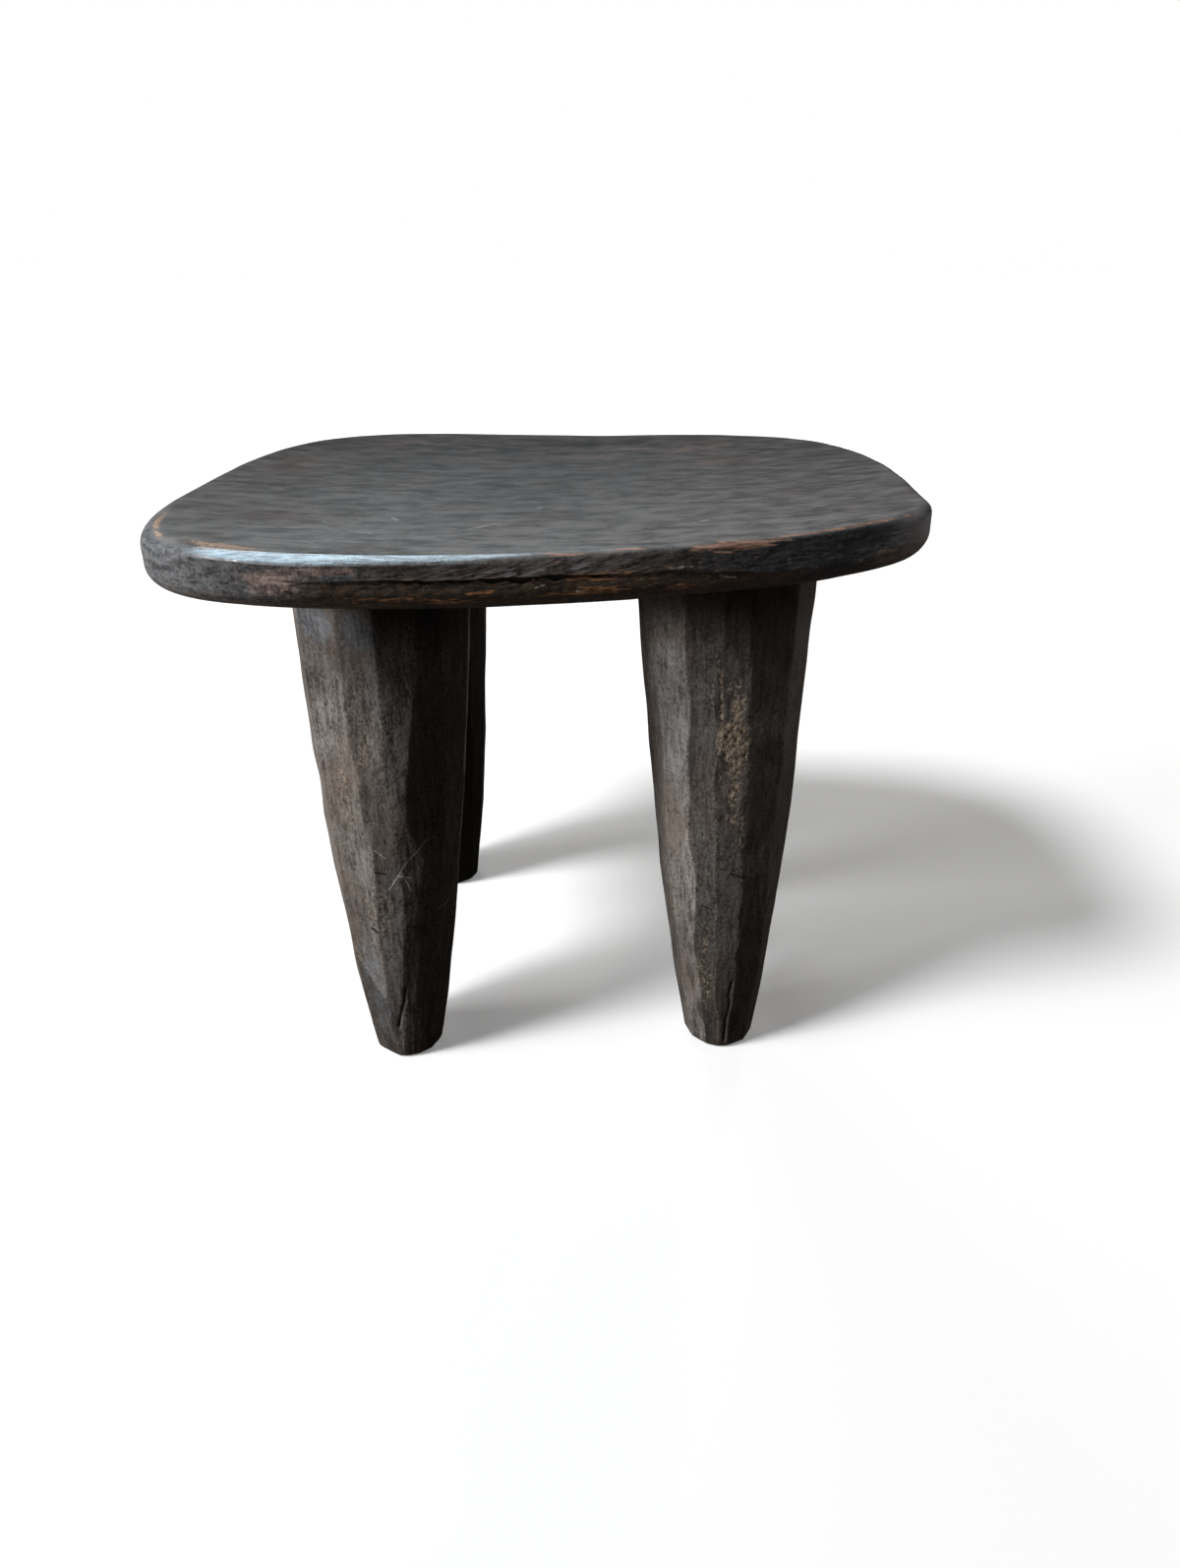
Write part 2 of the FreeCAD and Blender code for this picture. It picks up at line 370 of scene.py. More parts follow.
# The split along the front of the rim, and the rougher band below it
SPLIT_ENDS = mm(-66, 52)
SPLIT_FADES = mm(24, 22)
BAND_ENDS = mm(-104, 130)
BAND_FADES = mm(30, 40)
SPLIT_DROP = 10.0 * MM  # below the top
RIGHT_FALL = 5.5 * MM  # further down at the right
RIGHT_FALL_ENDS = mm(50, 115)
SPLIT_WAVER = 0.6 * MM
SPLIT_HALF = 0.8 * MM
LIP = 0.4 * MM
POCKET_ENDS = mm(-26, 24)  # the split gapes here
POCKET_FADES = mm(14, 10)
POCKET_GAPE = 0.7
SPLIT_DEPTH = 1.3 * MM
BAND_RECESS = 0.9 * MM
SPLIT_SPAN = 0.4  # metres of X, over which the cells of its noises are set
WAVER_CELLS = (30, 1)
HALF_CELLS = (50, 1)
HALF_UNEVEN = 0.7  # by how much of itself its half width varies
HALF_LEAST = 0.25


def split_masks(x, y, drop):
    """The split along the front of the rim: its dark gap, the band below, and the painted highlight along
    the lip above.
    """
    front = (y < 0.0) & (drop > 0.0)
    share = x / SPLIT_SPAN + 0.5
    waver = SPLIT_WAVER * rough_noise(SEAT_SEED + 5, share, 0.0, WAVER_CELLS, octaves=4)
    line = SPLIT_DROP + RIGHT_FALL * smoothstep(*RIGHT_FALL_ENDS, x) + waver
    gape = 1.0 + POCKET_GAPE * window(x, POCKET_ENDS, POCKET_FADES)
    uneven = 1.0 + HALF_UNEVEN * rough_noise(SEAT_SEED + 6, share, 0.0, HALF_CELLS, octaves=4)
    half = SPLIT_HALF * gape * np.maximum(uneven, HALF_LEAST)
    gap = smoothstep(line - LIP, line, drop) * (1.0 - smoothstep(line + half, line + 2.0 * half, drop))
    along = front * window(x, SPLIT_ENDS, SPLIT_FADES)
    # painted highlight: the pale line where the lip above the split catches the light
    lip_highlight = along * bump_at(drop, line - 2.0 * LIP, LIP)
    band = front * window(x, BAND_ENDS, BAND_FADES) * smoothstep(line - LIP, line + LIP, drop)
    return {"dark": along * gap, "band": band, "lip_highlight": lip_highlight}


# Marks along the front of the rim: place along X, place down the rim (less than none is inwards on
# the top), half length and half height, in millimetres
SEAT_SPOTS = {
    "worn": ((87, 1.6, 18, 3), (18, -0.4, 15, 1.4), (46, -0.8, 10, 1.1), (133, -0.3, 33, 0.9)),
    "tan": ((-120, -8.2, 17, 4.2), (-160, -7, 4, 2.2), (-153, -5, 4, 1.4)),
    "rust": (
        (33, 10.4, 14, 1.7), (31, 15.8, 10, 1.2), (-16.5, 15, 6, 1.1), (-28, 18.7, 9, 1.2),
        (14, 17.1, 9, 0.6), (26, 17.2, 20, 0.7), (66, 17.9, 7, 1.1), (-52, 17.2, 13, 0.8),
    ),
    "pink": ((-98, 10.7, 12, 5.4), (-80, 5.4, 17, 2), (156, 16, 13, 5)),
    "speck": ((81, 9, 11, 5),),
    "hatch": ((10, 6.2, 42, 3.6),),
    # the cool mark at X 163 and the end mark are painted sheen on the rim's right end
    "cool": ((-70, 9, 14, 4), (163, 9, 9, 7)),
    "end": ((163, 7, 9, 7),),
}
LEFT_GREY = mm(-160, -46)  # the rim is greyer at its left end
RIGHT_NIGHT = mm(40, 110)  # and blacker at its right
FRONT_FADE = mm(-20, 25)  # the front's marks fade out over this stretch of Y
POLISH_TOP = mm(-2, 0)  # down from the facet's inner edge: where its polish begins
POLISH_FOOT = mm(1, 3.6)  # down from the top: where it ends
RIM_START = mm(0.4, 2.2)  # down from the top: where the rim's own wood begins
LOW_EDGE = (0.68, 0.95)  # shares of the thickness: where the rim's lower edge begins

# Broad tints of the top: a cool, dim middle, and brown clouds by place along X and Y, half length
# and half width
DIM_ALONG = mm(5, 80)
DIM_ACROSS = mm(5, 90)
TOP_BROWNS = (
    (-93, 114, 24, 12), (19, 60, 16, 9), (42, 86, 18, 11), (80, 78, 24, 13), (88, 34, 24, 12),
    (-141, 30, 14, 30), (-120, -82, 26, 11),
)


def spots_mask(spots, across, along):
    """Soft-edged marks, each by its places and then its half sizes across and along."""
    total = np.zeros(across.shape)
    for middle, centre, half_length, half_width in spots:
        spot = bump_at(across, middle * MM, half_length * MM)
        total = np.maximum(total, spot * bump_at(along, centre * MM, half_width * MM))
    return total


def scallops(x, y):
    """Shallow dishes left by the adze, meeting at ridges, over the underside."""
    rng = np.random.default_rng(SEAT_SEED + 9)
    low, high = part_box("seat")
    nearest = np.full(x.shape, 1.0)
    for place in rng.uniform((low.x, low.y), (high.x, high.y), (SCALLOP_COUNT, 2)):
        nearest = np.minimum(nearest, np.hypot(x - place[0], y - place[1]))
    return SCALLOP_DEPTH * (1.0 - np.clip(nearest / SCALLOP_RADIUS, 0.0, 1.0) ** 2)


def rim_hewing(rim, row_count):
    """Uneven swell of the rim, calmer but fuller at the seat's two ends."""
    up = np.linspace(0.0, 1.0, row_count)[:, None]
    swell = RIM_SWELL * smooth_noise(SEAT_SEED + 2, rim.share, up, RIM_SWELL_CELLS)
    grain = RIM_GRAIN * rough_noise(SEAT_SEED + 3, rim.share, up, RIM_GRAIN_CELLS, octaves=2)
    return (swell + grain) * (1.0 - TIP_CALM * rim.tips) + TIP_BULGE * rim.tips


def seat_plan(rim):
    """Rows of points from the underside's middle round the rim to the top's, as seen from above.

    Also how far each is below the top, and a one for each row on the rim.
    """
    under_edge = rim.outline - rim.normals * rim.under_round[:, None]
    top_edge = rim.outline - rim.normals * rim.top_inset[:, None]
    rows = []
    for share in np.linspace(0.0, 1.0, UNDER_ROWS)[1:-1]:
        rows.append((under_edge * share, rim.thickness, 0.0))
    for inset, drop in rim.profile():
        rows.append((rim.outline - rim.normals * inset[:, None], drop, 1.0))
    for share in 1.0 - np.linspace(0.0, 1.0, TOP_ROWS)[1:-1] ** TOP_ROW_POWER:
        rows.append((top_edge * share, 0.0 * rim.thickness, 0.0))
    plan, drop, on_rim = (np.array(column) for column in zip(*rows))
    return plan, drop, on_rim[:, None]


def seat_masks(rim, x, y, drop, fall):
    """Where the seat's marks are. The fall runs down the rim, and is less than none on the top."""
    front = 1.0 - smoothstep(*FRONT_FADE, y)
    masks = {name: front * spots_mask(spots, x, fall) for name, spots in SEAT_SPOTS.items()}
    left_grey = 1.0 - smoothstep(*LEFT_GREY, x)
    masks["lit"] = left_grey
    masks["cool"] = np.clip(masks["cool"] + left_grey, 0.0, 1.0)
    masks["night"] = smoothstep(*RIGHT_NIGHT, x)
    masks["rim"] = smoothstep(*RIM_START, drop)
    masks["foot"] = smoothstep(*LOW_EDGE, drop / rim.thickness)
    begun = smoothstep(*POLISH_TOP, fall + rim.facet_inset)
    masks["polish"] = begun * (1.0 - smoothstep(*POLISH_FOOT, fall)) * rim.facet
    masks["dim"] = bump_at(x, *DIM_ALONG) * bump_at(y, *DIM_ACROSS)
    masks["brown"] = spots_mask(TOP_BROWNS, x, y)
    return masks


def seat_skin():
    """The seat: a dished top, a rounded rim with its worn facet and split, and a hewn underside."""
    rim = Rim()
    plan, drop, on_rim = seat_plan(rim)
    split = split_masks(plan[..., 0], plan[..., 1], drop)
    depth = drop / rim.thickness
    sideness = on_rim * np.sqrt(np.sin(np.clip(depth, 0.0, 1.0) * math.pi))
    cut = BAND_RECESS * split["band"] + SPLIT_DEPTH * split["dark"]
    out = sideness * (rim_hewing(rim, len(plan)) - cut)
    x = plan[..., 0] + rim.normals[:, 0] * out
    y = plan[..., 1] + rim.normals[:, 1] * out
    places = (x / HOLLOW_SPAN + 0.5, y / HOLLOW_SPAN + 0.5)
    hollows = HOLLOW_DEPTH * rough_noise(SEAT_SEED + 4, *places, HOLLOW_CELLS, octaves=2)
    hollows = hollows + smoothstep(UNDER_START, 1.0, depth) * scallops(x, y)
    z = SEAT_TOP(x) - depth * (SEAT_TOP(x) - SEAT_UNDER(x)) + hollows
    inset = np.sum((rim.outline - plan) * rim.normals, axis=-1)
    fall = drop - np.clip(inset, 0.0, None) * (drop < rim.top_drop)
    masks = {**seat_masks(rim, x, y, drop, fall), **split}
    masks["night"] = masks["night"] * (1.0 - split["band"])
    rings = np.stack([x, y, z], axis=-1)
    middle_top = (0.0, 0.0, rings[-1, :, 2].mean())
    middle_under = (0.0, 0.0, rings[0, :, 2].mean())
    return ring_mesh("seat_skin", rings, middle_under, middle_top, masks)


# Legs: what the solids say

LEVEL_REACH = 0.3 * MM  # points this near to a height count as at it
PROBE_MARGINS = mm(6, 8)  # from the sole and from the shoulder
PROBE_ROWS = 40
PROBE_TURNS = 36


def middle_at(points, height):
    """Middle of a solid's points at one height."""
    level = points[np.abs(points[:, 2] - height) < LEVEL_REACH]
    return (level.min(axis=0) + level.max(axis=0)) / 2.0


def axis_and_radius(name):
    """A leg's sole and tenon middles, its shoulder's height, and its mean radius by the height."""
    points = np.array([v.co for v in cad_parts[name].data.vertices])
    sole = middle_at(points, points[:, 2].min())
    tenon = middle_at(points, points[:, 2].max())
    tree = solid_tree(name)
    shoulder = SEAT_UNDER(tenon[0])
    heights = np.linspace(PROBE_MARGINS[0], shoulder - PROBE_MARGINS[1], PROBE_ROWS)
    turns = full_turn(PROBE_TURNS)
    radii = []
    for height in heights:
        centre = Vector((*(sole[:2] + (tenon[:2] - sole[:2]) * (height / shoulder)), height))
        hits = [tree.ray_cast(centre, Vector((math.cos(t), math.sin(t), 0.0)))[3] for t in turns]
        radii.append(sum(hits) / len(hits))
    return sole, tenon, shoulder, np.poly1d(np.polyfit(heights, radii, 4))


# Legs: skin

def strokes(rng, heights):
    """Depth and tone along one flat, from a chain of separate adze strokes."""
    lead = -rng.uniform(0.0, STROKE_LENGTHS[1])
    ends = np.cumsum([lead, *rng.uniform(*STROKE_LENGTHS, STROKE_COUNT)])
    depths = rng.uniform(*STROKE_DEPTHS, len(ends))
    tones = rng.uniform(-1.0, 1.0, len(ends))
    index = np.clip(np.searchsorted(ends, heights) - 1, 0, STROKE_COUNT - 1)
    share = np.clip((heights - ends[index]) / (ends[index + 1] - ends[index]), 0.0, 1.0)
    return depths[index] * np.sin(math.pi * share) ** STROKE_POWER, tones[index]


# Extra cuts across the flats: facing in degrees, height where the cut starts, and share of the radius
# that it takes at the sole
EXTRA_CUTS = {"leg_front_left": ((-121.0, 96.0 * MM, 0.13),)}
CUT_START = 1.045  # how far out a cut starts, beside the flats
CUT_TONE = -2.4


def leg_flats(name, heights, inner):
    """Facing, depth and tone of each of a leg's flats along its height."""
    rng = np.random.default_rng(LEG_SEEDS[name])
    share = heights / heights.max()
    flats = []
    for index, facing in enumerate(FLAT_FACINGS[name]):
        seed = LEG_SEEDS[name] * 100 + index
        wander = FACING_WANDER * line_noise(seed, share, WANDER_CELLS)
        wander = wander + FACING_JITTER * line_noise(seed + 25, share, JITTER_CELLS)
        chain, rise = FLAT_BENDS.get(name, {}).get(facing, (STRAIGHT, 0.0))
        bend = np.interp(heights, *chain)
        depth, tone = strokes(rng, heights)
        depth = inner - depth + STROKE_DEPTHS[1] / 2.0
        depth = depth + DEPTH_WANDER * line_noise(seed + 50, share, DEPTH_CELLS) + rise * bend
        flat_tone = FLAT_TONES[name].get(facing, rng.uniform(*TONE_REACH))
        flats.append((np.radians(facing + bend) + wander, depth, flat_tone + STROKE_TONE * tone))
    for facing, start, loss in EXTRA_CUTS.get(name, ()):
        lower = np.clip(1.0 - heights / start, 0.0, 1.0)
        depth = inner * (CUT_START - loss * lower) + (heights > start) * inner
        flats.append((math.radians(facing) + 0.0 * heights, depth, CUT_TONE + 0.0 * heights))
    return flats


def hewn_radius(flats, turns):
    """Distance out to the flats, the tone of the nearest one, and a mask of the edges between them."""
    nearness = []
    for facing, depth, tone in flats:
        lean = np.clip(np.cos(turns[None, :] - facing[:, None]), 0.0, None)
        nearness.append(lean / depth[:, None])
    nearness = np.array(nearness)
    ranked = np.sort(nearness, axis=0)
    best = ranked[-1]
    radius = 1.0 / (best * np.sum((nearness / best) ** EDGE_POWER, axis=0) ** (1.0 / EDGE_POWER))
    edge = smoothstep(EDGE_NEAR, 1.0, ranked[-2] / best)
    owner = np.argmax(nearness, axis=0)
    tones = np.array([tone for facing, depth, tone in flats])
    rows = np.arange(nearness.shape[1])[:, None]
    return radius, tones[owner, rows], edge


# Marks on the legs. A patch is a facing in degrees, a height, half its width and height in millimetres,
# and its strength. A line is a chain of (facing, height) points.
COOL_PATCHES = {
    "leg_front_left": (
        (-126, 252, 19, 10, 1), (-92, 251, 12, 8, 0.8), (-117, 48, 8, 40, 0.7),
        (-76, 222, 9, 22, 0.25),
    ),
    "leg_front_right": ((-130, 205, 14, 40, 0.5), (-30, 190, 6, 70, 0.5)),
}
BARE_PATCHES = {
    "leg_front_right": (
        (-84, 191, 8, 38, 1), (-76, 150, 3, 24, 0.8), (-152, 120, 5, 60, 0.6),
        (-112, 60, 6, 30, 0.6),
    ),
    "leg_front_left": ((-96, 193, 4, 10, 0.7), (-115, 165, 6, 20, 0.6), (-100, 100, 8, 22, 0.5)),
}
BARE_LINES = {"leg_front_right": (((-96, 230), (-95, 214), (-96, 196)),)}
BARE_LINE_HALF = 1.2 * MM
CRACK_LINES = {
    "leg_front_left": (((-78, 52), (-80, 43), (-86, 34), (-91, 24)),),
    "leg_front_right": (((-77, 50), (-80, 40), (-78, 34), (-82, 22), (-83, 6)),),
}
UNDER_SEAT_SHADE_REACH = mm(8, 36)  # down from the seat: where a leg's painted shade under the seat begins to fade, and ends
UNDER_SEAT_SHADE_STARTS = {"leg_front_left": (-105.0, -82.0)}  # facings where it begins, on a leg whose lit side has none of this painted shade
CRACK_HALF = 0.85 * MM
CRACK_DEPTH = 0.5 * MM
BARE_DEPTH = 0.25 * MM
BARE_CELLS = (150, 130)
RAGGED_CELLS = (30, 34)
PATCH_RAGGED = 0.35  # how uneven a patch's edge is, as a share of its half size
PATCH_FADE = (0.6, 1.15)  # shares of its half size, over which it fades out


def degrees_from(facing, degrees):
    """How far round from a facing, from -180 to 180 degrees."""
    return (degrees - facing + 180.0) % 360.0 - 180.0


def line_distance(line, degrees, heights, radius):
    """Distance along the surface from each point to a chain of points."""
    nearest = np.full(radius.shape, 1.0)
    for (turn_a, height_a), (turn_b, height_b) in zip(line, line[1:]):
        across_a = np.radians(degrees_from(turn_a, degrees)) * radius
        across_b = np.radians(turn_b - turn_a) * radius
        up_a = heights - height_a * MM
        up_b = (height_b - height_a) * MM
        share = np.clip((across_a * across_b + up_a * up_b) / (across_b ** 2 + up_b ** 2), 0.0, 1.0)
        nearest = np.minimum(nearest, np.hypot(across_a - across_b * share, up_a - up_b * share))
    return nearest


def patch_mask(patches, degrees, heights, radius, ragged):
    """Ragged-edged patches on a leg."""
    total = np.zeros(radius.shape)
    for facing, height, half_width, half_height, strength in patches:
        across = np.radians(degrees_from(facing, degrees)) * radius / (half_width * MM)
        up = (heights - height * MM) / (half_height * MM)
        away = np.hypot(across, up) + PATCH_RAGGED * ragged
        total = np.maximum(total, strength * (1.0 - smoothstep(*PATCH_FADE, away)))
    return total


def lines_mask(lines, degrees, heights, radius, width):
    """Soft-edged lines on a leg."""
    total = np.zeros(radius.shape)
    for line in lines:
        total = np.maximum(total, bump_at(line_distance(line, degrees, heights, radius), 0.0, width))
    return total


def leg_marks(name, shoulder, degrees, heights, radius, ragged):
    """Where a leg's cracks, bare wood, cool patches and painted shade under the seat are."""
    spot = (degrees, heights, radius)
    bare_lines = lines_mask(BARE_LINES.get(name, ()), *spot, BARE_LINE_HALF)
    # painted shade: a leg darkens up towards the seat
    shade_and_cracks = 1.0 - smoothstep(*UNDER_SEAT_SHADE_REACH, shoulder - heights) + 0.0 * radius
    if name in UNDER_SEAT_SHADE_STARTS:
        shade_and_cracks = shade_and_cracks * smoothstep(*UNDER_SEAT_SHADE_STARTS[name], degrees_from(0.0, degrees))
    return {
        "crack": lines_mask(CRACK_LINES.get(name, ()), *spot, CRACK_HALF),
        "bare": np.maximum(patch_mask(BARE_PATCHES.get(name, ()), *spot, ragged), bare_lines),
        "cool": patch_mask(COOL_PATCHES.get(name, ()), *spot, ragged),
        "dark": shade_and_cracks,
    }


def worn_foot(radius, heights):
    """A leg's radii with its foot worn round, and its flats worn off there."""
    lift = np.clip(1.0 - heights / FOOT_ROUND, 0.0, 1.0)
    radius = radius + (radius.mean(axis=1, keepdims=True) - radius) * SOLE_EVEN * lift
    return radius - FOOT_INSET * (1.0 - np.sqrt(1.0 - FOOT_TURN * lift ** 2))


def with_sole(rows):
    """A mask's rows up a leg, with those of its sole added before them."""
    return np.concatenate([np.repeat(rows[:1], SOLE_ROWS - 1, axis=0), rows])


def leg_skin(name):
    """One leg: long hewn flats with wavering edges, a worn sole, and an end that runs into the seat."""
    sole, tenon, shoulder, mean_radius = axis_and_radius(name)
    seed = LEG_SEEDS[name]
    turns = full_turn(LEG_COLUMNS)
    levels = np.linspace(0.0, shoulder, LEG_ROWS)
    heights = levels[:, None]
    flats = leg_flats(name, levels, mean_radius(levels) / FLAT_TO_MEAN)
    radius, tone, edge = hewn_radius(flats, turns)
    share = heights / shoulder
    places = (turns / (2.0 * math.pi), share)
    radius = radius + FIBRE_DEPTH * rough_noise(seed, *places, FIBRE_CELLS, octaves=2)
    ragged = rough_noise(seed + 7, *places, RAGGED_CELLS)
    masks = leg_marks(name, shoulder, np.degrees(turns), heights, radius, ragged)
    crumbled = 1.0 + rough_noise(seed + 9, *places, BARE_CELLS, octaves=2)
    radius = radius - CRACK_DEPTH * masks["crack"] - BARE_DEPTH * masks["bare"] * crumbled
    radius = worn_foot(radius, heights)

    x = sole[0] + (tenon - sole)[0] * share + radius * np.cos(turns)
    y = sole[1] + (tenon - sole)[1] * share + radius * np.sin(turns)
    z = heights * ((SEAT_UNDER(x) + LEG_SINK) / shoulder)
    rings = np.stack([x, y, z], axis=-1)
    start = np.array([sole[0], sole[1], 0.0])
    shares = np.arange(1, SOLE_ROWS)[:, None, None] / SOLE_ROWS
    rings = np.concatenate([start + (rings[0] - start) * shares, rings])
    finish = (tenon[0], tenon[1], rings[-1, :, 2].mean())
    masks.update(tone=tone, edge=edge)
    masks = {mask: with_sole(rows) for mask, rows in masks.items()}
    return ring_mesh(name + "_skin", rings, start, finish, masks)


# Materials

MIX_SHARE, MIX_FIRST, MIX_SECOND, MIX_RESULT = 0, 6, 7, 2  # a mix node's sockets for colours
MEASURES = ("DOT_PRODUCT", "DISTANCE", "LENGTH")  # vector operations that give a number
SCRATCH_CORE = 0.3  # share of a scratch's half width that is at full strength


def new_material(name):
    """A material with nodes."""
    material = bpy.data.materials.new(name)
    material.use_nodes = True
    return material


class Wiring:
    """Shorthand for adding and joining nodes."""

    def __init__(self, tree):
        self.tree = tree

    def node(self, kind, **settings):
        """A new node with its settings."""
        made = self.tree.nodes.new("ShaderNode" + kind)
        for setting, value in settings.items():
            setattr(made, setting, value)
        return made

    def feed(self, socket, value):
        """Links a socket to another, or sets it. A colour is three numbers."""
        if isinstance(value, bpy.types.NodeSocket):
            self.tree.links.new(value, socket)
        elif socket.type == "RGBA":
            socket.default_value = (*value, 1.0)
        else:
            socket.default_value = value

    def fill(self, made, sockets):
        """Feeds a node's sockets by their names."""
        for name, value in sockets.items():
            self.feed(made.inputs[name], value)

    def add(self, kind, *values, **settings):
        """The first output of a new node, with its first sockets fed in their order."""
        made = self.node(kind, **settings)
        for socket, value in zip(made.inputs, values):
            self.feed(socket, value)
        return made.outputs[0]

    def maths(self, operation, first, second):
        """One operation on two numbers."""
        return self.add("Math", first, second, operation=operation)

    def times(self, first, second):
        """One number times another."""
        return self.maths("MULTIPLY", first, second)

    def larger(self, first, second):
        """The larger of two numbers."""
        return self.maths("MAXIMUM", first, second)

    def spread(self, value, low, high, to_low=0.0, to_high=1.0):
        """A value's stretch from low to high, set out over another stretch."""
        return self.add("MapRange", value, low, high, to_low, to_high)

    def vector(self, operation, first, second=(0.0, 0.0, 0.0)):
        """One operation on two vectors, or on a vector and the number that scales it."""
        made = self.node("VectorMath", operation=operation)
        self.feed(made.inputs[0], first)
        self.feed(made.inputs["Scale" if operation == "SCALE" else 1], second)
        return made.outputs["Value" if operation in MEASURES else "Vector"]


class Wood(Wiring):
    """Wiring of a wood, with its skin's masks, noises by their grain and marks by their places."""

    def __init__(self, name):
        self.material = new_material(name)
        super().__init__(self.material.node_tree)
        self.shader = self.tree.nodes["Principled BSDF"]
        self.place = self.node("TexCoord").outputs["Object"]

    def mask(self, name):
        """One of the skin's masks."""
        return self.node("Attribute", attribute_name=name).outputs["Fac"]

    def mix(self, share, first, second):
        """A share of the second colour over the first."""
        made = self.node("Mix", data_type="RGBA")
        self.feed(made.inputs[MIX_SHARE], share)
        self.feed(made.inputs[MIX_FIRST], first)
        self.feed(made.inputs[MIX_SECOND], second)
        return made.outputs[MIX_RESULT]

    def weigh(self, *pairs):
        """Sum of values, each times its weight."""
        total = 0.0
        for value, weight in pairs:
            total = self.maths("ADD", self.times(value, weight), total)
        return total

    def ragged(self, mask, noise, reach, softness):
        """A soft mask cut to a crisp, uneven edge by a noise."""
        pushed = self.weigh((mask, 1.0), (noise, reach))
        middle = 0.5 + 0.5 * reach
        return self.spread(pushed, middle - softness, middle + softness)

    def noise(self, grain, detail, roughness=0.55, turn=(0.0, 0.0, 0.0)):
        """Noise with its own size of grain along X, Y and Z, in millimetres."""
        turned = self.node("Mapping")
        self.fill(turned, {"Vector": self.place, "Rotation": turn})
        stretched = self.vector("DIVIDE", turned.outputs[0], Vector(grain) * MM)
        made = self.node("TexNoise")
        self.fill(made, {"Vector": stretched, "Scale": 1.0, "Detail": detail, "Roughness": roughness})
        return made.outputs["Fac"]

    def scratch(self, place, start, end, width):
        """A thin straight mark between two points."""
        along = end - start
        away = self.vector("SUBTRACT", place, start)
        reach = self.larger(self.vector("DOT_PRODUCT", away, along.normalized()), 0.0)
        nearest = self.vector("SCALE", along.normalized(), self.maths("MINIMUM", reach, along.length))
        gap = self.vector("DISTANCE", away, nearest)
        return self.spread(gap, SCRATCH_CORE * width, width, 1.0, 0.0)

    def scratches(self, axes, marks):
        """Several scratches as one mask. They are set by two axes, and run through along the third."""
        keep = np.array([float(axis in axes) for axis in "XYZ"])
        place = self.vector("MULTIPLY", self.place, keep)
        total = 0.0
        for *ends, width in marks:
            points = np.zeros((2, 3))
            points[:, keep > 0.0] = np.reshape(ends, (2, 2))
            start, end = (Vector(point) * MM for point in points)
            total = self.larger(self.scratch(place, start, end, width * MM), total)
        return total

    def part_of(self, axis, low, high):
        """A climb from none to one between two places along X, Y or Z, in millimetres."""
        split = self.node("SeparateXYZ")
        self.feed(split.inputs[0], self.place)
        return self.spread(split.outputs[axis], low * MM, high * MM)

    def finish(self, height, bump_depth, bump_strength, sockets):
        """The material, with its bumps made and the rest of its shader fed."""
        bump = self.node("Bump")
        self.fill(bump, {"Strength": bump_strength, "Distance": bump_depth, "Height": height})
        normal = bump.outputs[0]
        self.fill(self.shader, {"Normal": normal, "Coat Normal": normal, **sockets})
        return self.material


# Pale scratches and dark nicks on the fronts of the legs and pale marks on the rim, by X and Z, and flecks
# on the top, by X and Y: both ends and the half width, in millimetres
LEG_SCRATCHES = (
    (-71.5, 117, -62.4, 132, 0.55), (-62.4, 132, -52, 143, 0.40), (-64.5, 127, -61, 116, 0.50),
    (-66, 125.5, -60.5, 123.5, 0.70), (-51, 98.8, -46, 101, 0.40), (-76, 141, -71, 136, 0.35),
)
LEG_NICKS = (
    (96, 121.5, 103, 119, 0.8), (90.5, 124.5, 93, 124, 0.6), (83, 100, 87, 99, 0.6),
    (-77, 128, -72, 127, 0.7), (-83, 92, -80, 90, 1),
)
RIM_MARKS = (
    (60.4, 283.3, 69.9, 283.9, 0.7), (80.9, 279.4, 84, 278.5, 0.7), (84, 278.5, 87.4, 278.3, 0.5),
    (6.6, 276.6, 10.2, 277.6, 0.45), (23, 274.7, 25, 274.2, 0.7), (81, 287.4, 82.2, 287, 0.45),
    (87, 285.4, 87.3, 286.2, 0.5), (108.6, 284.4, 109.3, 284.8, 0.45),
)
TOP_FLECKS = (
    (-91.5, -89.3, -90.9, -89.1, 0.6), (-63.2, -80.4, -61, -81.6, 0.7),
    (-60.8, -83.5, -59.6, -83, 0.5), (0.8, -59.2, 1.6, -59.1, 0.7), (-73, -107, -66, -108, 0.35),
    (-22, -96, -14, -88, 0.35), (-26, -100, -19, -92, 0.30), (74, -93, 77, -92.6, 0.45),
)


